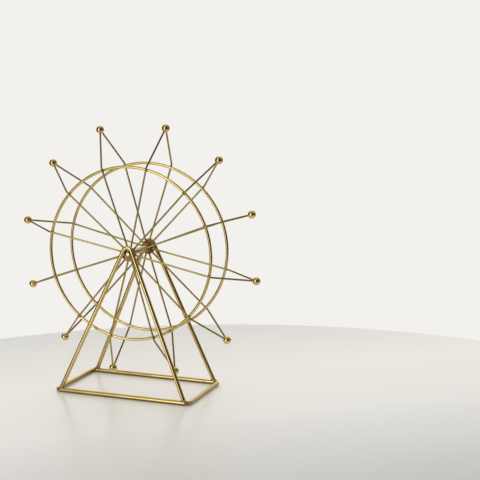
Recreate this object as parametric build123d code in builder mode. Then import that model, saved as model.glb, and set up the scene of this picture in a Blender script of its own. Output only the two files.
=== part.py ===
from build123d import *
import math
import os

# A hand-turned Ferris wheel ornament made of bent and welded wire.
#
# The origin is on the surface that the base stands on, below the middle of the wheel.
# +Z is up, the wheel turns about an axis along Y, and the front of the ornament faces -Y.
# Every pair of pieces that faces the front and the rear is told apart by a side:
# -1 is the front and +1 is the rear.

FRONT, REAR = -1, 1
side_names = {FRONT: "front", REAR: "rear"}

# ---------------------------------------------------------------- driving dimensions (mm)

# Rims: two plain rings of wire, one each side of the hub.
rim_radius = 95.0              # centre line of the wire
rim_wire = 3.2
rim_spacing = 51.0             # between the two centre lines, across the wheel

# Spokes: one wire from the front hub flange and one from the rear, meeting at each ball.
spoke_wire = 2.0
bend_reach = 3.0               # from the rim's centre line out to the corner of the bend
bend_radius = 3.0
weld_gap = 0.05                # film of weld metal between two wires that cross

# Where the balls and the spokes stand, in degrees clockwise from straight up, seen from the front.
# They are set by hand, so the steps are uneven, but each row is in balance about the axle.
ball_angles = (-19.4, 13.1, 41.9, 70.1, 100.0, 131.3, 161.7, 193.0, 220.9, 250.3, 280.8, 311.5)
spoke_angles = {
    FRONT: (-18.9, 12.5, 42.7, 68.2, 101.0, 132.0, 161.8, 192.9, 219.2, 251.1, 281.4, 311.2),
    REAR: (-17.8, 16.2, 42.6, 69.1, 101.6, 132.9, 163.0, 194.2, 222.7, 250.0, 282.5, 311.6),
}

# Balls at the tips.
ball_circle_radius = 140.0
ball_diameter = 9.0
socket_depth = 1.5             # how far a spoke's end is let into its ball
socket_clearance = 0.05

# Hub: a tube with a flange at each end, which turns on the rod.
barrel_diameter = 6.5
flange_diameter = 16.0
flange_thickness = 1.2
flange_edge = 0.3
boss_length = 3.5
spoke_root_offset = 24.5       # from the wheel's mid-plane to a spoke's centre line at the boss
spoke_root_gap = 0.2           # between neighbouring spokes where they meet the boss
running_clearance = 0.05       # between the rod and the tube, on the radius
thrust_gap = 0.3               # between a flange and its bearing plate

# Axle: a rod held by a screw at each end.
rod_diameter = 5.0
rod_edge = 0.4
screw_diameter = 3.0
screw_reach = 6.0              # how far the screw goes into the rod
tapping_spare = 1.5            # hole left beyond the screw's tip
screw_head_diameter = 6.0
screw_head_height = 2.4
screw_head_round = 1.4
screw_tip_edge = 0.4
recess_width = 0.9             # one arm of the cross recess
recess_length = 3.2
recess_depth = 1.3
recess_taper = 8
thread_clearance = 0.05
plate_hole_clearance = 0.2

# Stand: a wire base with a bent wire A-frame at the front and at the rear.
base_length = 157.0            # along X, between the wire's centre lines
base_width = 93.0              # along Y, between the wire's centre lines
base_wire = 5.0
base_corner_radius = 5.0
sole_depth = 0.2               # how much is ground off the underside, so that it sits flat
ball_headroom = 7.5            # from the top of the base wire to the lowest path of a ball
foot_spread = 148.0            # between the two feet of an A-frame
leg_wire = 4.5
apex_radius = 5.0              # bend over the top of an A-frame, at the wire's centre line
apex_rise = 2.5                # from the axle up to the centre of that bend
plate_diameter = 16.0
plate_thickness = 1.2
plate_edge = 0.5

# Beads of weld metal.
rim_bead_radius = 1.5
foot_bead_radius = 3.2
plate_bead_radius = 1.8

# ---------------------------------------------------------------- sizes that follow from them

base_wire_height = base_wire / 2 - sole_depth
base_top = base_wire_height + base_wire / 2
axle_height = base_top + ball_headroom + ball_diameter / 2 + ball_circle_radius

# How small the hub's boss can be without the ends of two neighbouring spokes meeting.
steps = [
    (after - before) % 360
    for angles in spoke_angles.values()
    for before, after in zip(angles, angles[1:] + angles[:1])
]
boss_radius = (spoke_wire + spoke_root_gap) / 2 / math.sin(math.radians(min(steps)) / 2)

# Distances from the wheel's mid-plane. A spoke's centre line leans outwards at an even slope
# from the boss, over the outer face of its rim, to the corner of its bend.
rim_offset = rim_spacing / 2
crossing_offset = rim_offset + (rim_wire + weld_gap) / 2
spoke_offset = rim_offset + rim_wire / 2 + weld_gap + spoke_wire / 2
spoke_root_radius = boss_radius + weld_gap
spoke_slope = (spoke_offset - spoke_root_offset) / (rim_radius - spoke_root_radius)
bend_offset = spoke_offset + spoke_slope * bend_reach
flange_edge_offset = spoke_root_offset + spoke_slope * (flange_diameter / 2 - spoke_root_radius)
flange_inner = max(spoke_root_offset, flange_edge_offset) + spoke_wire / 2 + weld_gap
flange_outer = flange_inner + flange_thickness
plate_inner = flange_outer + thrust_gap
plate_outer = plate_inner + plate_thickness
apex_offset = plate_outer + leg_wire / 2

# One A-frame, in its own leaning plane, from the base wire's centre line up.
apex_top_height = axle_height + apex_rise + apex_radius
frame_rise = apex_top_height - base_wire_height
frame_inset = base_width / 2 - apex_offset
frame_slope = math.hypot(frame_rise, frame_inset)
apex_centre = frame_slope - apex_radius
foot_to_apex = math.hypot(foot_spread / 2, apex_centre)
leg_lean = math.atan(foot_spread / 2 / apex_centre) - math.asin(apex_radius / foot_to_apex)
frame_peak = foot_spread / 2 / math.tan(leg_lean)


# ---------------------------------------------------------------- places

# A plane through the axle at an angle: local x points straight out from the axle, and
# local y away from the wheel's mid-plane, towards the given side.
def spoke_plane(angle, side):
    turn = math.radians(angle)
    outwards = (math.sin(turn), 0, math.cos(turn))
    normal = (-side * math.cos(turn), 0, side * math.sin(turn))
    return Plane(origin=(0, 0, axle_height), x_dir=outwards, z_dir=normal)


# The corners of one spoke's centre line: its root at the boss, its bend and its end in the ball.
def spoke_corners(number, side):
    inner = spoke_plane(spoke_angles[side][number], side)
    root = inner.from_local_coords((spoke_root_radius, spoke_root_offset))
    bend = inner.from_local_coords((rim_radius + bend_reach, bend_offset))
    ball_centre = spoke_plane(ball_angles[number], side).from_local_coords((ball_circle_radius, 0))
    tip_direction = (ball_centre - bend).normalized()
    return root, bend, ball_centre - tip_direction * (ball_diameter / 2 - socket_depth)


# A plane across the axle, facing away from the wheel's mid-plane.
def hub_plane(side, offset):
    return Plane(origin=(0, side * offset, axle_height), x_dir=(1, 0, 0), z_dir=(0, side, 0))


# The leaning plane of an A-frame: local x along X and local y up the slope.
def frame_plane(side):
    foot_line = (0, side * base_width / 2, base_wire_height)
    normal = (0, -frame_rise, -side * frame_inset)
    return Plane(origin=foot_line, x_dir=(1, 0, 0), z_dir=normal)


# The centre of a leg's wire at a given height. end is -1 for the left leg and +1 for the right.
def leg_point(side, end, height):
    up_slope = (height - base_wire_height) * frame_slope / frame_rise
    return frame_plane(side).from_local_coords(
        (end * (frame_peak - up_slope) * math.tan(leg_lean), up_slope)
    )


def save(part, name):
    part.label = name
    export_step(part, f"parts/{name}.step")


# ---------------------------------------------------------------- stand

def make_base_frame():
    corner_x = base_length / 2
    corner_y = base_width / 2
    with BuildPart() as base_frame:
        with BuildLine(Plane.XY.offset(base_wire_height)) as loop:
            FilletPolyline(
                (-corner_x, -corner_y),
                (corner_x, -corner_y),
                (corner_x, corner_y),
                (-corner_x, corner_y),
                radius=base_corner_radius,
                close=True,
            )
        with BuildSketch(Plane(origin=loop.line @ 0, z_dir=loop.line % 0)):
            Circle(base_wire / 2)
        sweep()
        split(bisect_by=Plane.XY, keep=Keep.TOP)
    return base_frame.part


def make_a_frame(side, base_frame):
    with BuildPart() as a_frame:
        with BuildLine(frame_plane(side)) as legs:
            FilletPolyline(
                (-foot_spread / 2, 0),
                (0, frame_peak),
                (foot_spread / 2, 0),
                radius=apex_radius,
            )
        with BuildSketch(Plane(origin=legs.line @ 0, z_dir=legs.line % 0)):
            Circle(leg_wire / 2)
        sweep()
        add(base_frame, mode=Mode.SUBTRACT)   # the feet are coped over the base wire
    return a_frame.part


def make_bearing_plate(side):
    with BuildPart() as bearing_plate:
        with BuildSketch(hub_plane(side, plate_inner)):
            Circle(plate_diameter / 2)
            Circle(screw_diameter / 2 + plate_hole_clearance, mode=Mode.SUBTRACT)
        extrude(amount=plate_thickness)
        rim_edges = bearing_plate.edges().filter_by(GeomType.CIRCLE).sort_by(SortBy.RADIUS)[-2:]
        fillet(rim_edges, radius=min(plate_edge, plate_thickness / 3))
    return bearing_plate.part


def make_axle_rod():
    with BuildPart() as axle_rod:
        with BuildSketch(hub_plane(REAR, -plate_inner)):
            Circle(rod_diameter / 2)
        extrude(amount=2 * plate_inner)
        chamfer(axle_rod.edges().filter_by(GeomType.CIRCLE), length=rod_edge)
        for side in (FRONT, REAR):
            with BuildSketch(hub_plane(side, plate_inner)):
                Circle(screw_diameter / 2 + thread_clearance)
            extrude(amount=-(screw_reach + tapping_spare), mode=Mode.SUBTRACT)
    return axle_rod.part


def make_axle_screw(side):
    shank_length = plate_thickness + screw_reach
    with BuildPart() as axle_screw:
        with BuildSketch(hub_plane(side, plate_outer)):
            Circle(screw_head_diameter / 2)
        extrude(amount=screw_head_height)
        head_edges = axle_screw.edges().filter_by(GeomType.CIRCLE).group_by(Axis.Y)
        top_edge = head_edges[-1] if side == REAR else head_edges[0]
        fillet(top_edge, radius=screw_head_round)
        with BuildSketch(hub_plane(side, plate_outer)):
            Circle(screw_diameter / 2)
        extrude(amount=-shank_length)
        ends = axle_screw.edges().filter_by(GeomType.CIRCLE).group_by(Axis.Y)
        chamfer(ends[0] if side == REAR else ends[-1], length=screw_tip_edge)
        with BuildSketch(hub_plane(side, plate_outer + screw_head_height)):
            Rectangle(recess_length, recess_width)
            Rectangle(recess_width, recess_length)
        extrude(amount=-recess_depth, taper=recess_taper, mode=Mode.SUBTRACT)
    return axle_screw.part


# Beads where the legs stand on the base wire.
def make_foot_welds(base_frame, a_frames):
    feet = [leg_point(side, end, base_top) for side in (FRONT, REAR) for end in (-1, 1)]
    with BuildPart() as foot_welds:
        with Locations(*feet):
            Sphere(foot_bead_radius)
        add([base_frame, *a_frames], mode=Mode.SUBTRACT)
    return foot_welds.part


# Beads that join each bearing plate to the two legs beside the axle.
def make_plate_welds(a_frames, bearing_plates):
    joints = []
    for side in (FRONT, REAR):
        for end in (-1, 1):
            leg = leg_point(side, end, axle_height)
            seat = (leg.X, side * plate_outer, axle_height)
            joints.append(Plane(origin=seat, z_dir=(0, side, 0)))
    with BuildPart() as plate_welds:
        with Locations(*joints):
            Sphere(plate_bead_radius, arc_size1=0)   # the half that stands on the plate
        add([*a_frames, *bearing_plates], mode=Mode.SUBTRACT)
    return plate_welds.part


# ---------------------------------------------------------------- wheel

def make_rim(side):
    with BuildPart() as rim:
        with Locations(hub_plane(side, rim_offset)):
            Torus(rim_radius, rim_wire / 2)
    return rim.part


def make_hub_barrel():
    with BuildPart() as hub_barrel:
        with BuildSketch(hub_plane(REAR, -flange_outer)):
            Circle(barrel_diameter / 2)
            Circle(rod_diameter / 2 + running_clearance, mode=Mode.SUBTRACT)
        extrude(amount=2 * flange_outer)
    return hub_barrel.part


def make_hub_flange(side):
    with BuildPart() as hub_flange:
        with BuildSketch(hub_plane(side, flange_inner)):
            Circle(flange_diameter / 2)
        extrude(amount=flange_thickness)
        chamfer(hub_flange.edges().filter_by(GeomType.CIRCLE), length=flange_edge)
        with BuildSketch(hub_plane(side, flange_inner)):
            Circle(boss_radius)
        extrude(amount=-boss_length)
        with BuildSketch(hub_plane(side, flange_outer)):
            Circle(barrel_diameter / 2)
        extrude(amount=-(flange_thickness + boss_length), mode=Mode.SUBTRACT)
    return hub_flange.part


def make_spoke(number, side):
    root, bend, end = spoke_corners(number, side)
    bend_plane = Plane(origin=root, x_dir=bend - root, z_dir=(bend - root).cross(end - bend))
    corners = [bend_plane.to_local_coords(corner) for corner in (root, bend, end)]
    with BuildPart() as spoke:
        with BuildLine(bend_plane) as wire_line:
            FilletPolyline(*[(corner.X, corner.Y) for corner in corners], radius=bend_radius)
        with BuildSketch(Plane(origin=wire_line.line @ 0, z_dir=wire_line.line % 0)):
            Circle(spoke_wire / 2)
        sweep()
    return spoke.part


def make_ball(number):
    with BuildPart() as ball:
        with Locations(spoke_plane(ball_angles[number], REAR).from_local_coords((ball_circle_radius, 0))):
            Sphere(ball_diameter / 2)
        for side in (FRONT, REAR):
            root, bend, end = spoke_corners(number, side)
            with BuildSketch(Plane(origin=end, z_dir=bend - end)):
                Circle(spoke_wire / 2 + socket_clearance)
            extrude(amount=ball_diameter, mode=Mode.SUBTRACT)
    return ball.part


# Beads where the spokes of one side cross that side's rim. Each sphere's poles lie inside the
# two wires and its seam half way between them, so neither wire cuts along the seam.
def make_rim_welds(side, rim, spokes):
    crossings = []
    for angle in spoke_angles[side]:
        crossing = spoke_plane(angle, side).from_local_coords((rim_radius, crossing_offset))
        between = spoke_plane(angle + 45, side).x_dir
        crossings.append(Plane(origin=crossing, x_dir=between, z_dir=(0, side, 0)))
    with BuildPart() as rim_welds:
        with Locations(*crossings):
            Sphere(rim_bead_radius)
        add([rim, *spokes], mode=Mode.SUBTRACT)
    return rim_welds.part


# ---------------------------------------------------------------- build and write every piece

os.makedirs("parts", exist_ok=True)

base_frame = make_base_frame()
save(base_frame, "base_frame")

a_frames = []
bearing_plates = []
for side, side_name in side_names.items():
    a_frame = make_a_frame(side, base_frame)
    save(a_frame, f"{side_name}_a_frame")
    a_frames.append(a_frame)
    bearing_plate = make_bearing_plate(side)
    save(bearing_plate, f"{side_name}_bearing_plate")
    bearing_plates.append(bearing_plate)
    save(make_axle_screw(side), f"{side_name}_axle_screw")

save(make_axle_rod(), "axle_rod")
save(make_foot_welds(base_frame, a_frames), "foot_welds")
save(make_plate_welds(a_frames, bearing_plates), "plate_welds")

save(make_hub_barrel(), "hub_barrel")
for side, side_name in side_names.items():
    rim = make_rim(side)
    save(rim, f"{side_name}_rim")
    save(make_hub_flange(side), f"{side_name}_hub_flange")
    spokes = [make_spoke(number, side) for number in range(len(ball_angles))]
    for number, spoke in enumerate(spokes, start=1):
        save(spoke, f"{side_name}_spoke_{number:02d}")
    save(make_rim_welds(side, rim, spokes), f"{side_name}_rim_welds")

for number in range(len(ball_angles)):
    save(make_ball(number), f"ball_{number + 1:02d}")

print("axle height", round(axle_height, 3), "mm above the surface")
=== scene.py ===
import math
import bpy
from mathutils import Matrix, Vector


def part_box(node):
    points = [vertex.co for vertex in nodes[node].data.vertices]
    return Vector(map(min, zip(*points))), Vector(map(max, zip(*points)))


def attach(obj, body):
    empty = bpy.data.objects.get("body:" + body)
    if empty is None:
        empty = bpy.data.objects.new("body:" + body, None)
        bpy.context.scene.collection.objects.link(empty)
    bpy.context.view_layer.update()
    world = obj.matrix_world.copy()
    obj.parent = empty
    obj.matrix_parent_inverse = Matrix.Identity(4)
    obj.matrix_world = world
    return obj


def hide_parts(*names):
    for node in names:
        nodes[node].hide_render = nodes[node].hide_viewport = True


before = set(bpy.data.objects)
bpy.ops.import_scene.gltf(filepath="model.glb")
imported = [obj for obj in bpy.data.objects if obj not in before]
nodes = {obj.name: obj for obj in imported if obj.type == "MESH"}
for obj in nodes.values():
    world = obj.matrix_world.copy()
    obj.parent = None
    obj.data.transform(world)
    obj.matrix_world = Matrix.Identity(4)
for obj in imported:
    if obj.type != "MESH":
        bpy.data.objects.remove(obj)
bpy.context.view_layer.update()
print("stage: frame loaded,", len(nodes), "CAD nodes")

mm = 0.001
front, rear = -1, 1
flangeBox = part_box("front_hub_flange")
axleHeight = (flangeBox[0][2] + flangeBox[1][2]) / 2


cameraSet = {
    "place": (0.5649, -1.2837, 0.3879),  # metres, from the perspective of the base and the rims
    "heading": 19.17,  # degrees to the left of straight ahead
    "pitchDown": 8.86,
    "roll": 0.74,
    "lens": 95.9,
    "sensor": 36.0,
}


def addCamera():
    data = bpy.data.cameras.new("viewCamera")
    data.lens = cameraSet["lens"]
    data.sensor_width = cameraSet["sensor"]
    camera = bpy.data.objects.new("viewCamera", data)
    bpy.context.scene.collection.objects.link(camera)
    heading = Matrix.Rotation(math.radians(cameraSet["heading"]), 4, "Z")
    pitch = Matrix.Rotation(math.radians(90 - cameraSet["pitchDown"]), 4, "X")
    roll = Matrix.Rotation(math.radians(cameraSet["roll"]), 4, "Z")
    camera.matrix_world = Matrix.Translation(cameraSet["place"]) @ heading @ pitch @ roll
    bpy.context.scene.camera = camera


addCamera()
print("stage: camera placed")


# Adds a node, sets its options, and feeds its inputs from sockets or plain values.
def put(tree, kind, feeds=None, **options):
    node = tree.nodes.new(kind)
    for key, value in options.items():
        setattr(node, key, value)
    for key, value in (feeds or {}).items():
        if isinstance(value, bpy.types.NodeSocket):
            tree.links.new(value, node.inputs[key])
        else:
            node.inputs[key].default_value = value
    return node


def maths(tree, operation, first, second=0.0):
    return put(tree, "ShaderNodeMath", {0: first, 1: second}, operation=operation).outputs[0]


def vectorMaths(tree, operation, first, second=(0, 0, 0)):
    return put(tree, "ShaderNodeVectorMath", {0: first, 1: second}, operation=operation).outputs[0]


def scaled(tree, vector, factor):
    return put(tree, "ShaderNodeVectorMath", {0: vector, "Scale": factor}, operation="SCALE").outputs[0]


def lengthOf(tree, vector):
    return put(tree, "ShaderNodeVectorMath", {0: vector}, operation="LENGTH").outputs["Value"]


def dotProduct(tree, first, second):
    node = put(tree, "ShaderNodeVectorMath", {0: first, 1: second}, operation="DOT_PRODUCT")
    return node.outputs["Value"]


# Maps low..high to toLow..toHigh and holds the ends.
def stretch(tree, value, low, high, toLow=0.0, toHigh=1.0, smooth=False):
    node = put(tree, "ShaderNodeMapRange", {0: value, 1: low, 2: high, 3: toLow, 4: toHigh})
    if smooth:
        node.interpolation_type = "SMOOTHSTEP"
    return node.outputs[0]


def mixColour(tree, share, first, second):
    return put(tree, "ShaderNodeMix", {0: share, 6: first, 7: second}, data_type="RGBA").outputs[2]


def noise(tree, vector, scale, detail=2.0, roughness=0.5):
    feeds = {"Vector": vector, "Scale": scale, "Detail": detail, "Roughness": roughness}
    return put(tree, "ShaderNodeTexNoise", feeds).outputs[0]


# The colours that the gold finishes share.
goldSet = {
    "pale": (0.85, 0.70, 0.33, 1),  # plated wire where the lacquer is clean
    "deep": (0.69, 0.52, 0.17, 1),
    "ballPale": (0.90, 0.73, 0.36, 1),  # the polished balls
    "ballDeep": (0.80, 0.56, 0.17, 1),
    "spokePale": (0.57, 0.45, 0.17, 1),  # the thin wire is given darker tones
    "spokeDeep": (0.38, 0.27, 0.06, 1),
    "tarnishAndShade": (0.30, 0.17, 0.04, 1),  # warm brown film near the joints, also the colour of the painted shade near the ground
    "weld": (0.76, 0.61, 0.31, 1),
    "weldBurnt": (0.30, 0.18, 0.06, 1),
    "brazing": (0.90, 0.73, 0.42, 1),  # the beads round the spoke roots
    "burnt": (0.11, 0.055, 0.008, 1),  # dark brown: random mottling on the hub, and painted shade on its flanges and bearing plates
    "copper": (0.52, 0.28, 0.10, 1),  # the bearing plates, where the plating is thin
}


def newFinish(name, metallic=1.0):
    material = bpy.data.materials.new(name)
    material.use_nodes = True
    tree = material.node_tree
    shader = tree.nodes["Principled BSDF"]
    shader.inputs["Metallic"].default_value = metallic
    place = put(tree, "ShaderNodeTexCoord").outputs["Object"]
    return material, tree, shader, place


def lacquer(shader, weight, roughness):
    shader.inputs["Coat Weight"].default_value = weight
    shader.inputs["Coat Roughness"].default_value = roughness


# Each layer is (height, strength, distance in metres).
def bump(tree, shader, layers):
    normal = None
    for height, strength, distance in layers:
        feeds = {"Height": height, "Strength": strength, "Distance": distance}
        if normal:
            feeds["Normal"] = normal
        normal = put(tree, "ShaderNodeBump", feeds).outputs[0]
    tree.links.new(normal, shader.inputs["Normal"])


def axleDistance(tree, place):
    fromAxle = vectorMaths(tree, "SUBTRACT", place, (0, 0, axleHeight))
    return lengthOf(tree, vectorMaths(tree, "MULTIPLY", fromAxle, (1, 0, 1)))


wireLook = {
    "streakRound": 3.2,  # how fine the streaks are round the wire
    "streakAlong": 9.0,  # and along it, for each metre
    "streakScale": 1.6,
    "streakStain": 0.32,
    "cloudScale": 34.0,
    "speckScale": 1400.0,
    "groundFade": (0.6 * mm, 3.6 * mm),  # heights between which the painted shade near the ground fades out
    # how dark the painted shade near the ground is
    "groundShade": 0.8,
    "jointFilm": (0.45, 0.85),
    "roughness": (0.13, 0.22),
    "burntRoughness": 0.12,  # added where a joint was burnt
    "lacquer": (0.12, 0.07),  # weight and roughness
}


# Drawn and plated wire: streaks along its length, cloudy lacquer, brown film towards its joints,
# and painted shade in the same brown close to the ground.
def makeWireFinish(name, pale, deep):
    look = wireLook
    material, tree, shader, place = newFinish(name)
    ring = put(tree, "ShaderNodeAttribute", attribute_name="ring").outputs["Vector"]
    along = put(tree, "ShaderNodeAttribute", attribute_name="along").outputs["Fac"]
    burn = put(tree, "ShaderNodeAttribute", attribute_name="burn").outputs["Fac"]
    run = maths(tree, "MULTIPLY", along, look["streakAlong"])
    run = put(tree, "ShaderNodeCombineXYZ", {2: run}).outputs[0]
    roundWire = vectorMaths(tree, "MULTIPLY", ring, (look["streakRound"], look["streakRound"], 0))
    streaks = noise(tree, vectorMaths(tree, "ADD", roundWire, run), look["streakScale"], 4.0, 0.6)
    clouds = noise(tree, place, look["cloudScale"], 3.0, 0.55)
    specks = noise(tree, place, look["speckScale"], 2.0, 0.6)
    tone = mixColour(tree, stretch(tree, clouds, 0.34, 0.68), deep, pale)
    tone = mixColour(tree, stretch(tree, streaks, 0.35, 0.7, 0.0, look["streakStain"]), tone, deep)
    height = put(tree, "ShaderNodeSeparateXYZ", {0: place}).outputs[2]
    # painted shade: the wire darkens towards the ground, where the shadow under it falls
    groundShadeShare = stretch(tree, height, *look["groundFade"], look["groundShade"], 0.0)
    burnt = maths(tree, "MULTIPLY", burn, stretch(tree, specks, 0.3, 0.7, *look["jointFilm"]))
    tone = mixColour(tree, maths(tree, "MAXIMUM", burnt, groundShadeShare), tone, goldSet["tarnishAndShade"])
    tree.links.new(tone, shader.inputs["Base Color"])
    rough = stretch(tree, streaks, 0.3, 0.75, *look["roughness"])
    rough = maths(tree, "ADD", rough, maths(tree, "MULTIPLY", burn, look["burntRoughness"]))
    tree.links.new(rough, shader.inputs["Roughness"])
    lacquer(shader, *look["lacquer"])
    bump(tree, shader, [(streaks, 0.12, 0.04 * mm), (specks, 0.05, 0.01 * mm)])
    return material


ballLook = {
    "cloudScale": 90.0,
    "peelScale": 900.0,
    "roughness": (0.07, 0.15),
    "lacquer": (0.15, 0.04),
}


# Polished balls: nearly a mirror, with a faint orange peel in the lacquer.
def makeBallFinish():
    material, tree, shader, place = newFinish("goldBall")
    clouds = noise(tree, place, ballLook["cloudScale"], 3.0, 0.55)
    peel = noise(tree, place, ballLook["peelScale"], 2.0, 0.5)
    tone = mixColour(tree, stretch(tree, clouds, 0.3, 0.7), goldSet["ballDeep"], goldSet["ballPale"])
    tree.links.new(tone, shader.inputs["Base Color"])
    tree.links.new(stretch(tree, clouds, 0.3, 0.75, *ballLook["roughness"]), shader.inputs["Roughness"])
    lacquer(shader, *ballLook["lacquer"])
    bump(tree, shader, [(peel, 0.10, 0.03 * mm)])
    return material


weldLook = {
    "lumpScale": 420.0,
    "grainScale": 2200.0,
    "roughness": (0.42, 0.24),
    "lacquer": (0.2, 0.12),
}


# Weld metal under the plating: rippled, a little rough, burnt in the hollows.
def makeWeldFinish(name, bright, burnt):
    material, tree, shader, place = newFinish(name)
    lumps = noise(tree, place, weldLook["lumpScale"], 3.0, 0.6)
    grain = noise(tree, place, weldLook["grainScale"], 2.0, 0.6)
    tone = mixColour(tree, stretch(tree, lumps, 0.36, 0.62), burnt, bright)
    tree.links.new(tone, shader.inputs["Base Color"])
    tree.links.new(stretch(tree, lumps, 0.3, 0.7, *weldLook["roughness"]), shader.inputs["Roughness"])
    lacquer(shader, *weldLook["lacquer"])
    bump(tree, shader, [(lumps, 0.5, 0.3 * mm), (grain, 0.2, 0.05 * mm)])
    return material


hubLook = {
    "ringStep": 0.35 * mm,  # from one turning mark to the next
    "turningScale": 2600.0,
    "cloudScale": 140.0,
    "grimeScale": 320.0,
    "roughness": (0.16, 0.30),
    "lacquer": (0.2, 0.08),
}


# Turned parts of the hub: fine rings about the axle, under plating mottled dark brown.
# The last argument lays an even painted shade of that brown over the part, for the shaded recess round the
# hub.
def makeHubFinish(name, pale, deep, paintedShade):
    look = hubLook
    material, tree, shader, place = newFinish(name)
    radius = axleDistance(tree, place)
    rings = maths(tree, "SINE", maths(tree, "MULTIPLY", radius, 2 * math.pi / look["ringStep"]))
    marks = put(tree, "ShaderNodeCombineXYZ", {0: maths(tree, "MULTIPLY", radius, look["turningScale"])})
    turning = noise(tree, marks.outputs[0], 1.0, 3.0, 0.7)
    clouds = noise(tree, place, look["cloudScale"], 3.0, 0.55)
    tone = mixColour(tree, stretch(tree, clouds, 0.32, 0.68), deep, pale)
    grimeAndShade = noise(tree, place, look["grimeScale"], 3.0, 0.6)
    # painted shade: at least the last argument's share of dark brown everywhere, more in the random mottles
    grimeAndShade = stretch(tree, grimeAndShade, 0.40, 0.66, paintedShade, 0.5 + paintedShade / 2)
    tone = mixColour(tree, grimeAndShade, tone, goldSet["burnt"])
    tree.links.new(tone, shader.inputs["Base Color"])
    tree.links.new(stretch(tree, turning, 0.3, 0.7, *look["roughness"]), shader.inputs["Roughness"])
    lacquer(shader, *look["lacquer"])
    bump(tree, shader, [(rings, 0.12, 0.02 * mm), (turning, 0.3, 0.03 * mm)])
    return material


screwLook = {
    # the near white is the painted highlight at the middle of each screw head
    "bright": (0.97, 0.95, 0.90, 1),
    "dull": (0.36, 0.34, 0.26, 1),
    "roughness": (0.14, 0.28),
    "grain": (900, 900, 900),  # lines for each metre along x, y and z
    "cloudScale": 260.0,
    "brightWithin": (1.2 * mm, 2.1 * mm),  # distances from the axle, from the painted highlight to dull
}

rodLook = {
    "bright": (0.62, 0.61, 0.60, 1),
    "dull": (0.42, 0.41, 0.41, 1),
    "roughness": (0.2, 0.38),
    "grain": (2500, 60, 2500),
    "cloudScale": 260.0,
    "brightWithin": (0.0, 5.0 * mm),
}


# Zinc-plated screws and the drawn steel rod, brighter near the axle's centre than further out: on the screw
# heads this is a painted highlight.
def makeSteelFinish(name, look):
    material, tree, shader, place = newFinish(name)
    grain = noise(tree, vectorMaths(tree, "MULTIPLY", place, look["grain"]), 1.0, 3.0, 0.6)
    clouds = noise(tree, place, look["cloudScale"], 3.0, 0.5)
    # painted highlight: pale near the axle, dull further out
    middle = stretch(tree, axleDistance(tree, place), *look["brightWithin"], 0.9, 0.0)
    bright = maths(tree, "ADD", middle, stretch(tree, clouds, 0.3, 0.7, -0.1, 0.1))
    tree.links.new(mixColour(tree, bright, look["dull"], look["bright"]), shader.inputs["Base Color"])
    tree.links.new(stretch(tree, grain, 0.3, 0.7, *look["roughness"]), shader.inputs["Roughness"])
    bump(tree, shader, [(grain, 0.2, 0.03 * mm)])
    return material


goldWire = makeWireFinish("goldWire", goldSet["pale"], goldSet["deep"])
spokeGold = makeWireFinish("spokeGold", goldSet["spokePale"], goldSet["spokeDeep"])
goldBall = makeBallFinish()
goldWeld = makeWeldFinish("goldWeld", goldSet["weld"], goldSet["weldBurnt"])
brazing = makeWeldFinish("brazing", goldSet["brazing"], goldSet["weld"])
tubeGold = makeHubFinish("tubeGold", goldSet["pale"], goldSet["deep"], 0.0)
# the flanges and bearing plates are darkened by painted shade
flangeGold = makeHubFinish("flangeGold", goldSet["deep"], goldSet["tarnishAndShade"], 0.75)
plateGold = makeHubFinish("plateGold", goldSet["copper"], goldSet["tarnishAndShade"], 0.45)
screwSteel = makeSteelFinish("screwZinc", screwLook)
rodSteel = makeSteelFinish("rodSteel", rodLook)
print("stage: finishes made")


# Starts a tree with named inputs. Each input is (name, kind, default).
def startTree(name, inputs):
    tree = bpy.data.node_groups.new(name, "GeometryNodeTree")
    tree.interface.new_socket(name="Geometry", in_out="OUTPUT", socket_type="NodeSocketGeometry")
    for label, kind, value in inputs:
        socket = tree.interface.new_socket(name=label, in_out="INPUT", socket_type="NodeSocket" + kind)
        if value is not None:
            socket.default_value = value
    given = tree.nodes.new("NodeGroupInput")
    return tree, given.outputs


# Ends a tree: plain mesh, smooth, with its finish.
def endTree(tree, geometry, finish):
    solid = put(tree, "GeometryNodeRealizeInstances", {"Geometry": geometry}).outputs[0]
    smooth = put(tree, "GeometryNodeSetShadeSmooth", {"Geometry": solid, "Shade Smooth": True}).outputs[0]
    dressed = put(tree, "GeometryNodeSetMaterial", {"Geometry": smooth, "Material": finish}).outputs[0]
    out = tree.nodes.new("NodeGroupOutput")
    tree.links.new(dressed, out.inputs[0])
    return tree


def storeOn(tree, geometry, name, kind, value):
    feeds = {"Geometry": geometry, "Name": name, "Value": value}
    return put(tree, "GeometryNodeStoreNamedAttribute", feeds, data_type=kind, domain="POINT").outputs[0]


# Noise that a seed moves on.
def seededNoise(tree, place, seed, scale, detail):
    feeds = {"Vector": place, "W": seed, "Scale": scale, "Detail": detail}
    return put(tree, "ShaderNodeTexNoise", feeds, noise_dimensions="4D").outputs


# Moves the surface out along its normals.
def moveOut(tree, geometry, distance):
    normal = put(tree, "GeometryNodeInputNormal").outputs[0]
    feeds = {"Geometry": geometry, "Offset": scaled(tree, normal, distance)}
    return put(tree, "GeometryNodeSetPosition", feeds).outputs[0]


# Lifts whatever lies below the ground level to it, so that it is ground flat.
def grindFlat(tree, geometry, place, ground):
    split = put(tree, "ShaderNodeSeparateXYZ", {0: place}).outputs
    lifted = maths(tree, "MAXIMUM", split[2], ground)
    kept = put(tree, "ShaderNodeCombineXYZ", {0: split[0], 1: split[1], 2: lifted}).outputs[0]
    return put(tree, "GeometryNodeSetPosition", {"Geometry": geometry, "Position": kept}).outputs[0]


noGround = -1.0  # a ground level so low that nothing is ground flat

wireSet = {
    "bendSteps": 10,
    "wanderScale": 22.0,
    "startBurn": (3 * mm, 12 * mm),  # from a wire's start: fully burnt up to here, clean from there
    "endBurn": (1 * mm, 7 * mm),
}


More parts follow.
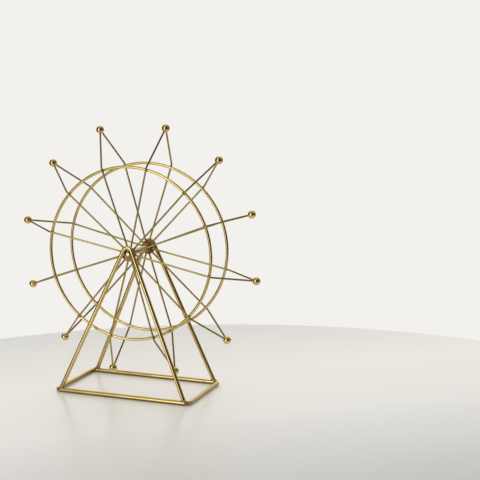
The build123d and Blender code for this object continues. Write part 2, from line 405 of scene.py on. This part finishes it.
# Bends wire along straight runs: rounds the corners, lets it wander by hand, and sweeps it.
def makeWireTree():
    tree, given = startTree("bentWire", [
        ("Runs", "Geometry", None),
        ("Wire Diameter", "Float", 0.002),
        ("Bend Radius", "Float", 0.003),
        ("Step", "Float", 0.0015),
        ("Sides", "Int", 16),
        ("Wander", "Float", 0.0001),
        ("Held Ends", "Float", 1.0),
        ("Ground", "Float", noGround),
        ("Joint Burn", "Float", 0.5),
        ("Seed", "Int", 1),
        ("Finish", "Material", None),
    ])
    runs = put(tree, "GeometryNodeMeshToCurve", {"Mesh": given["Runs"]}).outputs[0]
    feeds = {"Curve": runs, "Radius": given["Bend Radius"], "Count": wireSet["bendSteps"]}
    rounded = put(tree, "GeometryNodeFilletCurve", feeds, mode="POLY").outputs[0]
    feeds = {"Curve": rounded, "Length": given["Step"]}
    line = put(tree, "GeometryNodeResampleCurve", feeds, mode="LENGTH").outputs[0]
    place = put(tree, "GeometryNodeInputPosition").outputs[0]
    spline = put(tree, "GeometryNodeSplineParameter").outputs

    # the wander fades out at the ends, where a piece has any
    leftShare = maths(tree, "SUBTRACT", 1.0, spline["Factor"])
    middle = maths(tree, "MULTIPLY", maths(tree, "MULTIPLY", spline["Factor"], leftShare), 4.0)
    window = put(tree, "ShaderNodeMix", {0: given["Held Ends"], 2: 1.0, 3: middle}).outputs[0]
    drift = seededNoise(tree, place, given["Seed"], wireSet["wanderScale"], 1.0)["Color"]
    drift = vectorMaths(tree, "SUBTRACT", drift, (0.5, 0.5, 0.5))
    reach = maths(tree, "MULTIPLY", maths(tree, "MULTIPLY", given["Wander"], 2.0), window)
    feeds = {"Geometry": line, "Offset": scaled(tree, drift, reach)}
    bent = put(tree, "GeometryNodeSetPosition", feeds).outputs[0]

    # what the finish reads: how far along, how burnt, and where round the wire
    bent = storeOn(tree, bent, "along", "FLOAT", spline["Length"])
    fromStart = stretch(tree, spline["Length"], *wireSet["startBurn"], 1.0, 0.0, smooth=True)
    whole = put(tree, "GeometryNodeSplineLength").outputs[0]
    leftOver = maths(tree, "SUBTRACT", whole, spline["Length"])
    fromEnd = stretch(tree, leftOver, *wireSet["endBurn"], 1.0, 0.0, smooth=True)
    burn = maths(tree, "MULTIPLY", maths(tree, "MAXIMUM", fromStart, fromEnd), given["Held Ends"])
    bent = storeOn(tree, bent, "burn", "FLOAT", maths(tree, "MULTIPLY", burn, given["Joint Burn"]))
    radius = maths(tree, "DIVIDE", given["Wire Diameter"], 2.0)
    feeds = {"Resolution": given["Sides"], "Radius": radius}
    profile = put(tree, "GeometryNodeCurvePrimitiveCircle", feeds, mode="RADIUS").outputs[0]
    profile = storeOn(tree, profile, "ring", "FLOAT_VECTOR", vectorMaths(tree, "NORMALIZE", place))

    feeds = {"Curve": bent, "Profile Curve": profile, "Fill Caps": True}
    swept = put(tree, "GeometryNodeCurveToMesh", feeds).outputs[0]
    return endTree(tree, grindFlat(tree, swept, place, given["Ground"]), given["Finish"])


# Lays a lumpy bead of metal on each spot. A spot says which way it faces, how it runs and its size.
def makeBeadTree():
    tree, given = startTree("weldBeads", [
        ("Spots", "Geometry", None),
        ("Fineness", "Int", 4),
        ("Lumps", "Float", 0.0003),
        ("Lump Scale", "Float", 500.0),
        ("Size Spread", "Float", 0.15),
        ("Ground", "Float", noGround),
        ("Seed", "Int", 1),
        ("Finish", "Material", None),
    ])

    def read(name):
        node = put(tree, "GeometryNodeInputNamedAttribute", {"Name": name}, data_type="FLOAT_VECTOR")
        return node.outputs[0]

    points = put(tree, "GeometryNodeMeshToPoints", {"Mesh": given["Spots"]}).outputs[0]
    feeds = {"Radius": 1.0, "Subdivisions": given["Fineness"]}
    bead = put(tree, "GeometryNodeMeshIcoSphere", feeds).outputs[0]
    turned = put(tree, "FunctionNodeAlignRotationToVector", {"Vector": read("run")}, axis="X").outputs[0]
    feeds = {"Rotation": turned, "Vector": read("facing")}
    turned = put(tree, "FunctionNodeAlignRotationToVector", feeds, axis="Z", pivot_axis="X").outputs[0]
    spread = put(tree, "FunctionNodeRandomValue", {
        2: maths(tree, "SUBTRACT", 1.0, given["Size Spread"]),
        3: maths(tree, "ADD", 1.0, given["Size Spread"]),
        "Seed": given["Seed"],
    }, data_type="FLOAT").outputs[1]
    beads = put(tree, "GeometryNodeInstanceOnPoints", {
        "Points": points, "Instance": bead, "Rotation": turned, "Scale": scaled(tree, read("size"), spread),
    }).outputs[0]
    solid = put(tree, "GeometryNodeRealizeInstances", {"Geometry": beads}).outputs[0]
    place = put(tree, "GeometryNodeInputPosition").outputs[0]
    grain = seededNoise(tree, place, given["Seed"], given["Lump Scale"], 2.0)[0]
    grain = maths(tree, "SUBTRACT", grain, 0.5)
    lumpy = moveOut(tree, solid, maths(tree, "MULTIPLY", grain, maths(tree, "MULTIPLY", given["Lumps"], 2.0)))
    return endTree(tree, grindFlat(tree, lumpy, place, given["Ground"]), given["Finish"])


# Sets one ball on each spot, turned so that its poles lie in the line of the axle.
def makeBallTree():
    tree, given = startTree("tipBalls", [
        ("Spots", "Geometry", None),
        ("Ball Diameter", "Float", 0.009),
        ("Segments", "Int", 48),
        ("Dent", "Float", 0.00002),
        ("Dent Scale", "Float", 260.0),
        ("Seed", "Int", 1),
        ("Finish", "Material", None),
    ])
    points = put(tree, "GeometryNodeMeshToPoints", {"Mesh": given["Spots"]}).outputs[0]
    feeds = {
        "Segments": given["Segments"], "Rings": maths(tree, "DIVIDE", given["Segments"], 2.0),
        "Radius": maths(tree, "DIVIDE", given["Ball Diameter"], 2.0),
    }
    ball = put(tree, "GeometryNodeMeshUVSphere", feeds).outputs[0]
    quarterTurn = (math.radians(90), 0, 0)
    feeds = {"Points": points, "Instance": ball, "Rotation": quarterTurn}
    balls = put(tree, "GeometryNodeInstanceOnPoints", feeds).outputs[0]
    solid = put(tree, "GeometryNodeRealizeInstances", {"Geometry": balls}).outputs[0]
    place = put(tree, "GeometryNodeInputPosition").outputs[0]
    dents = seededNoise(tree, place, given["Seed"], given["Dent Scale"], 1.0)[0]
    # dents only go inwards, so that no ball grows
    inwards = maths(tree, "MULTIPLY", given["Dent"], -1.0)
    depth = maths(tree, "MULTIPLY", stretch(tree, dents, 0.45, 0.8), inwards)
    return endTree(tree, moveOut(tree, solid, depth), given["Finish"])


wireTree = makeWireTree()
beadTree = makeBeadTree()
ballTree = makeBallTree()


# Runs a tree on a start mesh and keeps the result as a plain mesh that rides on a body.
def growPiece(name, tree, start, settings, body, replaced=()):
    starter = bpy.data.objects.new(name + "Start", start)
    bpy.context.scene.collection.objects.link(starter)
    modifier = starter.modifiers.new("grow", "NODES")
    modifier.node_group = tree
    for item in tree.interface.items_tree:
        if item.item_type == "SOCKET" and item.in_out == "INPUT" and item.name in settings:
            modifier[item.identifier] = settings[item.name]
    graph = bpy.context.evaluated_depsgraph_get()
    grown = starter.evaluated_get(graph)
    mesh = bpy.data.meshes.new_from_object(grown, preserve_all_data_layers=True, depsgraph=graph)
    starter.modifiers.remove(modifier)
    bpy.data.objects.remove(starter)
    mesh.name = name
    piece = bpy.data.objects.new(name, mesh)
    bpy.context.scene.collection.objects.link(piece)
    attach(piece, body)
    if replaced:
        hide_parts(*replaced)
    print("stage:", name, "has", len(mesh.polygons), "faces")


# A start mesh of straight runs, each a list of corners, open or closed.
def runsMesh(name, runs, closed=False):
    points, edges = [], []
    for run in runs:
        first = len(points)
        points += [tuple(point) for point in run]
        edges += [(first + i, first + i + 1) for i in range(len(run) - 1)]
        if closed:
            edges.append((first + len(run) - 1, first))
    mesh = bpy.data.meshes.new(name)
    mesh.from_pydata(points, edges, [])
    return mesh


# A start mesh of spots, each (place, facing, run, half its size).
def spotsMesh(name, spots):
    mesh = bpy.data.meshes.new(name)
    mesh.from_pydata([tuple(spot[0]) for spot in spots], [], [])
    for index, label in enumerate(("facing", "run", "size"), start=1):
        layer = mesh.attributes.new(label, "FLOAT_VECTOR", "POINT")
        for point, spot in enumerate(spots):
            layer.data[point].vector = spot[index]
    return mesh


# What every bent wire takes from its piece's dictionary. heldEnds is 1 for a wire with two ends,
# which then stay in place and are burnt, and 0 for a closed ring.
def wireSettings(piece, finish):
    return {
        "Wire Diameter": piece["wire"], "Bend Radius": piece["bendRadius"], "Step": piece["step"],
        "Sides": piece["sides"], "Wander": piece["wander"], "Joint Burn": piece["burn"],
        "Held Ends": piece["heldEnds"], "Ground": piece["ground"], "Seed": piece["seed"], "Finish": finish,
    }


# A place on the wheel, by its angle and radius and how far it is in front of the mid-plane or behind.
def wheelPoint(angle, side, radius, offset):
    turn = math.radians(angle)
    return Vector((radius * math.sin(turn), side * offset, axleHeight + radius * math.cos(turn)))


# The way from the axle out to an angle.
def outwards(angle):
    return wheelPoint(angle, 0, 1, 0) - Vector((0, 0, axleHeight))


rimSet = {
    "radius": 95 * mm,
    "offset": 25.5 * mm,  # from the wheel's mid-plane
    "wire": 3.2 * mm,
    "wander": 0.12 * mm,
    "corners": 288,
    "bendRadius": 0.0,
    "step": 2.07 * mm,  # about one to each corner
    "sides": 24,
    "burn": 0.0,
    "heldEnds": 0.0,
    "ground": noGround,
    "seed": 3,
}


def addRims():
    corners = rimSet["corners"]
    runs = [
        [wheelPoint(360 * i / corners, side, rimSet["radius"], rimSet["offset"]) for i in range(corners)]
        for side in (front, rear)
    ]
    start, settings = runsMesh("rimRuns", runs, closed=True), wireSettings(rimSet, goldWire)
    growPiece("wheelRims", wireTree, start, settings, "wheel", ("front_rim", "rear_rim"))


ballSet = {
    # degrees clockwise from straight up, seen from the front
    "angles": (-19.4, 13.1, 41.9, 70.1, 100.0, 131.3, 161.7, 193.0, 220.9, 250.3, 280.8, 311.5),
    "circle": 140 * mm,
    "diameter": 9 * mm,
    "segments": 48,
    "dent": 0.02 * mm,
    "seed": 7,
}

spokeSet = {
    # degrees clockwise from straight up, seen from the front
    "angles": {
        front: (-18.9, 12.5, 42.7, 68.2, 101.0, 132.0, 161.8, 192.9, 219.2, 251.1, 281.4, 311.2),
        rear: (-17.8, 16.2, 42.6, 69.1, 101.6, 132.9, 163.0, 194.2, 222.7, 250.0, 282.5, 311.6),
    },
    "wire": 2.0 * mm,
    "root": (5.034 * mm, 24.5 * mm),  # from the axle, and from the wheel's mid-plane
    "offset": 28.15 * mm,  # where it crosses the rim
    "bendReach": 3.0 * mm,
    "bendRadius": 3.0 * mm,
    "socketDepth": 1.5 * mm,  # how far its end goes into the ball
    "wander": 0.15 * mm,
    "step": 1.6 * mm,
    "sides": 14,
    "burn": 0.7,
    "heldEnds": 1.0,
    "ground": noGround,
    "seed": 5,
}


# A spoke's root at the hub and the corner of its bend, the ball's centre, and the way from bend to ball.
def spokeCorners(number, side):
    rootRadius, rootOffset = spokeSet["root"]
    angle = spokeSet["angles"][side][number]
    root = wheelPoint(angle, side, rootRadius, rootOffset)
    crossing = wheelPoint(angle, side, rimSet["radius"], spokeSet["offset"])
    bend = crossing + (crossing - root) * spokeSet["bendReach"] / (rimSet["radius"] - rootRadius)
    ball = wheelPoint(ballSet["angles"][number], side, ballSet["circle"], 0)
    return root, bend, ball, (ball - bend).normalized()


def addSpokes():
    runs, replaced = [], []
    endReach = ballSet["diameter"] / 2 - spokeSet["socketDepth"]
    for side, sideName in ((front, "front"), (rear, "rear")):
        for number in range(len(ballSet["angles"])):
            root, bend, ball, tip = spokeCorners(number, side)
            runs.append([root, bend, ball - tip * endReach])
            replaced.append(f"{sideName}_spoke_{number + 1:02d}")
    start, settings = runsMesh("spokeRuns", runs), wireSettings(spokeSet, spokeGold)
    growPiece("wheelSpokes", wireTree, start, settings, "wheel", replaced)


def addBalls():
    spots = []
    for angle in ballSet["angles"]:
        spots.append((wheelPoint(angle, 0, ballSet["circle"], 0), (0, 1, 0), outwards(angle), (1, 1, 1)))
    settings = {
        "Ball Diameter": ballSet["diameter"], "Segments": ballSet["segments"],
        "Dent": ballSet["dent"], "Seed": ballSet["seed"], "Finish": goldBall,
    }
    replaced = [f"ball_{number:02d}" for number in range(1, len(spots) + 1)]
    growPiece("tipBalls", ballTree, spotsMesh("ballSpots", spots), settings, "wheel", replaced)


# Of each kind of bead: half its size in mm along its run, across it and off the metal, how high in mm
# its lumps stand and how close they are, and how much one bead differs from the next.
weldSet = {
    "rim": {"half": (1.9, 1.75, 1.15), "lumps": 0.35, "lumpScale": 520.0, "spread": 0.15, "seed": 11},
    "hub": {"half": (2.0, 1.65, 1.25), "lumps": 0.25, "lumpScale": 700.0, "spread": 0.15, "seed": 13},
    "collar": {"half": (0.9, 1.35, 1.35), "lumps": 0.12, "lumpScale": 800.0, "spread": 0.08, "seed": 17},
    "foot": {"half": (3.9, 2.7, 1.7), "lumps": 0.4, "lumpScale": 330.0, "spread": 0.06, "seed": 29},
    "plate": {"half": (3.4, 2.7, 1.2), "lumps": 0.2, "lumpScale": 600.0, "spread": 0.04, "seed": 31},
    "hubRadius": 7.0 * mm,  # of the ring of beads round the spoke roots
    "flangeInner": 25.67 * mm,  # the flange's inner face, from the wheel's mid-plane
    "hubLift": 0.35 * mm,  # off that face
    "collarSink": 0.1 * mm,  # below the ball's surface
    "footSink": 0.5 * mm,  # below the top of the base wire
    "plateOuter": 28.37 * mm,  # the bearing plate's outer face, from the wheel's mid-plane
    "plateLift": 0.05 * mm,  # off that face
    "fineness": 4,
    "footFineness": 5,
}


# Grows the beads of one kind. Each spot is (place, facing, run).
def growBeads(name, kind, spots, finish, body, slot, replaced=(), **extra):
    bead = weldSet[kind]
    half = tuple(value * mm for value in bead["half"])
    settings = {
        "Fineness": weldSet["fineness"], "Lumps": bead["lumps"] * mm, "Lump Scale": bead["lumpScale"],
        "Size Spread": bead["spread"], "Seed": bead["seed"], "Finish": finish, **extra,
    }
    start = spotsMesh(kind + "Spots", [(*spot, half) for spot in spots])
    growPiece(name, beadTree, start, settings, body, replaced)


def addWheelWelds():
    crossings, roots, collars = [], [], []
    crossingPlace = rimSet["radius"], rimSet["offset"] + rimSet["wire"] / 2
    rootPlace = weldSet["hubRadius"], weldSet["flangeInner"] - weldSet["hubLift"]
    collarReach = ballSet["diameter"] / 2 - weldSet["collarSink"]
    for side in (front, rear):
        for number, angle in enumerate(spokeSet["angles"][side]):
            out = outwards(angle)
            around = Vector((out.z, 0, -out.x))
            crossings.append((wheelPoint(angle, side, *crossingPlace), (0, side, 0), around))
            roots.append((wheelPoint(angle, side, *rootPlace), (0, -side, 0), out))
            ball, tip = spokeCorners(number, side)[2:]
            collars.append((ball - tip * collarReach, out, tip))
    replaced = ("front_rim_welds", "rear_rim_welds")
    growBeads("rimWelds", "rim", crossings, goldWeld, "wheel", "gold_weld", replaced)
    growBeads("hubBrazing", "hub", roots, brazing, "wheel", "gold_weld")
    growBeads("ballCollars", "collar", collars, goldBall, "wheel", "gold_ball")


addRims()
addSpokes()
addBalls()
addWheelWelds()


baseSet = {
    "length": 157 * mm,
    "width": 93 * mm,
    "height": 2.3 * mm,  # centre line of the wire, which is ground flat underneath
    "wire": 5 * mm,
    "bendRadius": 5 * mm,
    "wander": 0.0,
    "step": 1.6 * mm,
    "sides": 28,
    "burn": 0.0,
    "heldEnds": 0.0,
    "ground": 0.0,
    "seed": 19,
}


def addBase():
    x, y, z = baseSet["length"] / 2, baseSet["width"] / 2, baseSet["height"]
    # the loop starts in the middle of the rear side, so that every corner is rounded alike
    run = [(0, y, z), (-x, y, z), (-x, -y, z), (x, -y, z), (x, y, z)]
    start, settings = runsMesh("baseRun", [run], closed=True), wireSettings(baseSet, goldWire)
    growPiece("standBase", wireTree, start, settings, "stand", ("base_frame",))


legSet = {
    "footSpread": 148 * mm,
    "footStart": 1.2 * mm,  # the feet stop inside the base wire
    "apexRise": 2.5 * mm,  # the bend's centre, above the axle
    "apexOffset": 30.62 * mm,  # from the wheel's mid-plane
    "wire": 4.5 * mm,
    "bendRadius": 5 * mm,
    "wander": 0.1 * mm,
    "step": 1.3 * mm,
    "sides": 24,
    "burn": 0.8,
    "heldEnds": 1.0,
    "ground": noGround,
    "seed": 23,
}


# The sizes of an A-frame in its own leaning plane, measured up the slope from the base wire.
def frameShape():
    rise = axleHeight + legSet["apexRise"] + legSet["bendRadius"] - baseSet["height"]
    inset = baseSet["width"] / 2 - legSet["apexOffset"]
    slope = math.hypot(rise, inset)
    half = legSet["footSpread"] / 2
    centre = slope - legSet["bendRadius"]
    lean = math.atan(half / centre) - math.asin(legSet["bendRadius"] / math.hypot(half, centre))
    return {"rise": rise, "inset": inset, "slope": slope, "peak": half / math.tan(lean), "lean": lean}


aShape = frameShape()


# A place in an A-frame's plane, by its x and how far it is up the slope.
def framePoint(side, x, upSlope):
    y = side * (baseSet["width"] / 2 - aShape["inset"] * upSlope / aShape["slope"])
    return Vector((x, y, baseSet["height"] + aShape["rise"] * upSlope / aShape["slope"]))


# The centre of a leg's wire at a given height. end is -1 for the left leg and +1 for the right.
def legPoint(side, end, height):
    upSlope = (height - baseSet["height"]) * aShape["slope"] / aShape["rise"]
    return framePoint(side, end * (aShape["peak"] - upSlope) * math.tan(aShape["lean"]), upSlope)


def addLegs():
    half, footStart = legSet["footSpread"] / 2, legSet["footStart"]
    footX = half - footStart * half / aShape["peak"]
    runs = []
    for side in (front, rear):
        feet = [framePoint(side, end * footX, footStart) for end in (-1, 1)]
        runs.append([feet[0], framePoint(side, 0, aShape["peak"]), feet[1]])
    start, settings = runsMesh("legRuns", runs), wireSettings(legSet, goldWire)
    replaced = ("front_a_frame", "rear_a_frame")
    growPiece("standLegs", wireTree, start, settings, "stand", replaced)


def addStandWelds():
    feet, seats = [], []
    footHeight = baseSet["height"] + baseSet["wire"] / 2 - weldSet["footSink"]
    seatOffset = weldSet["plateOuter"] + weldSet["plateLift"]
    lower = axleHeight - 10 * mm  # a second height, to find which way a leg runs
    for side in (front, rear):
        for end in (-1, 1):
            feet.append((legPoint(side, end, footHeight), (0, 0, 1), (1, 0, 0)))
            leg = legPoint(side, end, axleHeight)
            legRun = leg - legPoint(side, end, lower)
            seats.append(((leg.x, side * seatOffset, leg.z), (0, side, 0), legRun))
    extra = {"Fineness": weldSet["footFineness"], "Ground": 0.0}
    growBeads("footWelds", "foot", feet, goldWeld, "stand", "gold_weld", ("foot_welds",), **extra)
    growBeads("plateWelds", "plate", seats, goldWeld, "stand", "gold_weld", ("plate_welds",))


addBase()
addLegs()
addStandWelds()


# The CAD nodes that stay get their finish.
def dressNodes():
    finishes = {
        "hub_barrel": tubeGold, "front_hub_flange": flangeGold, "rear_hub_flange": flangeGold,
        "front_bearing_plate": plateGold, "rear_bearing_plate": plateGold, "axle_rod": rodSteel,
        "front_axle_screw": screwSteel, "rear_axle_screw": screwSteel,
    }
    for name, finish in finishes.items():
        node = nodes[name]
        for slot in node.material_slots:
            slot.material = finish


dressNodes()
print("stage: CAD nodes dressed")


tableSet = {
    "centre": (0.2175, -0.200, 0),
    "radius": 0.600,
    "corners": 256,
    "edgeFade": 0.012,
    # the tone changes down the slope: the light falls off towards the camera
    "slope": (-0.70, 0.80, 0),
    "near": (0.515, 0.515, 0.52, 1),
    "middle": (0.81, 0.81, 0.82, 1),
    "under": (0.87, 0.85, 0.84, 1),
    "far": (0.655, 0.66, 0.67, 1),
    "toMiddle": (-0.42, -0.15),  # metres along the slope, from one tone to the next
    "toUnder": (-0.15, 0.0),
    "toFar": (0.05, 0.30),
    "cloud": (0.9, 0.89, 0.87, 1),
    "cloudScale": 9.0,
    "cloudShare": 0.05,
    "grainScale": 700.0,
    "roughness": 0.22,
    "glow": 0.12,
}


def addTable():
    corners, radius = tableSet["corners"], tableSet["radius"]
    bpy.ops.mesh.primitive_circle_add(vertices=corners, radius=radius, fill_type="NGON")
    table = bpy.context.object
    table.name = "table"
    table.data.transform(Matrix.Translation(tableSet["centre"]))
    material, tree, shader, place = newFinish("tablePaint", metallic=0.0)
    depth = dotProduct(tree, place, tableSet["slope"])
    tone = mixColour(tree, stretch(tree, depth, *tableSet["toMiddle"]), tableSet["near"], tableSet["middle"])
    tone = mixColour(tree, stretch(tree, depth, *tableSet["toUnder"]), tone, tableSet["under"])
    tone = mixColour(tree, stretch(tree, depth, *tableSet["toFar"]), tone, tableSet["far"])
    clouds = noise(tree, place, tableSet["cloudScale"], 3.0)
    clouds = stretch(tree, clouds, 0.3, 0.7, 0.0, tableSet["cloudShare"])
    tone = mixColour(tree, clouds, tone, tableSet["cloud"])
    tree.links.new(tone, shader.inputs["Base Color"])
    shader.inputs["Roughness"].default_value = tableSet["roughness"]
    bump(tree, shader, [(noise(tree, place, tableSet["grainScale"], 2.0), 0.05, 0.1 * mm)])

    # to the camera the paint glows a little, and the table's edge fades out
    glow = put(tree, "ShaderNodeEmission", {"Color": tone, "Strength": tableSet["glow"]})
    seen = put(tree, "ShaderNodeLightPath").outputs["Is Camera Ray"]
    lit = put(tree, "ShaderNodeAddShader", {0: shader.outputs[0], 1: glow.outputs[0]})
    body = put(tree, "ShaderNodeMixShader", {0: seen, 1: shader.outputs[0], 2: lit.outputs[0]})
    fromCentre = lengthOf(tree, vectorMaths(tree, "SUBTRACT", place, tableSet["centre"]))
    edge = stretch(tree, fromCentre, radius - tableSet["edgeFade"], radius - 1 * mm, smooth=True)
    gone = put(tree, "ShaderNodeBsdfTransparent")
    faded = put(tree, "ShaderNodeMixShader", {0: edge, 1: body.outputs[0], 2: gone.outputs[0]})
    tree.links.new(faded.outputs[0], tree.nodes["Material Output"].inputs["Surface"])
    table.data.materials.append(material)


# A patch of the room is (direction, core and reach in degrees, how tall).
lightSet = {
    "windowPlace": (-0.38, -1.42, 0.36),
    "windowAim": (0, 0, 0.15),
    "windowSize": (0.50, 0.95),
    "windowPower": 2.3,
    "roomLevel": 2.0,
    "wall": (0.896, 0.880, 0.847, 1),
    "wallPatch": ((-0.40, 0.91, 0.0), 15, 62, 2.4),
    "room": (0.25, 0.225, 0.18, 1),
    "ceiling": (0.40, 0.40, 0.36, 1),
    "ceilingFade": (0.25, 0.9),  # how steeply up the ceiling begins, and where it is all there is
    "daylight": (0.92, 0.87, 0.74, 1),  # round the window, as the gold mirrors it
    "daylightPatch": ((-0.256, -0.956, 0.141), 8, 27, 2.0),
    "shade": (0.036, 0.011, 0.0, 1),
    # unlit parts of the room, each a patch and how deep it is
    "shades": (
        (((0.62, -0.76, 0.0), 21, 49, 1.6), 1.0),
        (((-0.98, -0.20, 0.0), 16, 46, 1.8), 0.85),
        (((0.97, 0.20, 0.0), 25, 70, 1.4), 0.40),
    ),
}


# How near a direction lies to a given one: 1 in the core, 0 beyond the reach.
# tall makes the patch reach further up and down than sideways.
def patch(tree, direction, centre, core, reach, tall):
    squeeze = (1, 1, 1 / tall)
    flat = vectorMaths(tree, "NORMALIZE", vectorMaths(tree, "MULTIPLY", direction, squeeze))
    aim = Vector([value * factor for value, factor in zip(centre, squeeze)]).normalized()
    low, high = math.cos(math.radians(reach)), math.cos(math.radians(core))
    return stretch(tree, dotProduct(tree, flat, tuple(aim)), low, high, smooth=True)


def addWindow():
    data = bpy.data.lights.new("windowLight", "AREA")
    data.shape = "RECTANGLE"
    data.size, data.size_y = lightSet["windowSize"]
    data.energy = lightSet["windowPower"]
    light = bpy.data.objects.new("windowLight", data)
    bpy.context.scene.collection.objects.link(light)
    light.location = lightSet["windowPlace"]
    way = Vector(lightSet["windowAim"]) - Vector(lightSet["windowPlace"])
    light.rotation_euler = way.to_track_quat("-Z", "Y").to_euler()


def addRoom():
    world = bpy.data.worlds.new("studioRoom")
    bpy.context.scene.world = world
    world.use_nodes = True
    tree = world.node_tree
    direction = put(tree, "ShaderNodeTexCoord").outputs["Generated"]
    seen = put(tree, "ShaderNodeLightPath").outputs
    up = put(tree, "ShaderNodeSeparateXYZ", {0: direction}).outputs[2]
    tone = stretch(tree, up, *lightSet["ceilingFade"], smooth=True)
    tone = mixColour(tree, tone, lightSet["room"], lightSet["ceiling"])
    tone = mixColour(tree, patch(tree, direction, *lightSet["wallPatch"]), tone, lightSet["wall"])
    daylight = patch(tree, direction, *lightSet["daylightPatch"])
    daylight = maths(tree, "MULTIPLY", daylight, seen["Is Glossy Ray"])
    tone = mixColour(tree, daylight, tone, lightSet["daylight"])
    for place, depth in lightSet["shades"]:
        share = maths(tree, "MULTIPLY", patch(tree, direction, *place), depth)
        tone = mixColour(tree, share, tone, lightSet["shade"])
    # the camera sees only the pale wall
    bare = maths(tree, "MAXIMUM", seen["Is Camera Ray"], seen["Is Transmission Ray"])
    tone = mixColour(tree, bare, tone, lightSet["wall"])
    back = tree.nodes["Background"]
    tree.links.new(tone, back.inputs["Color"])
    direct = maths(tree, "MAXIMUM", bare, seen["Is Glossy Ray"])
    strength = stretch(tree, direct, 0.0, 1.0, lightSet["roomLevel"], 1.0)
    tree.links.new(strength, back.inputs["Strength"])


addTable()
addWindow()
addRoom()
bpy.context.scene.view_settings.view_transform = "Standard"
print("stage: table and light placed")
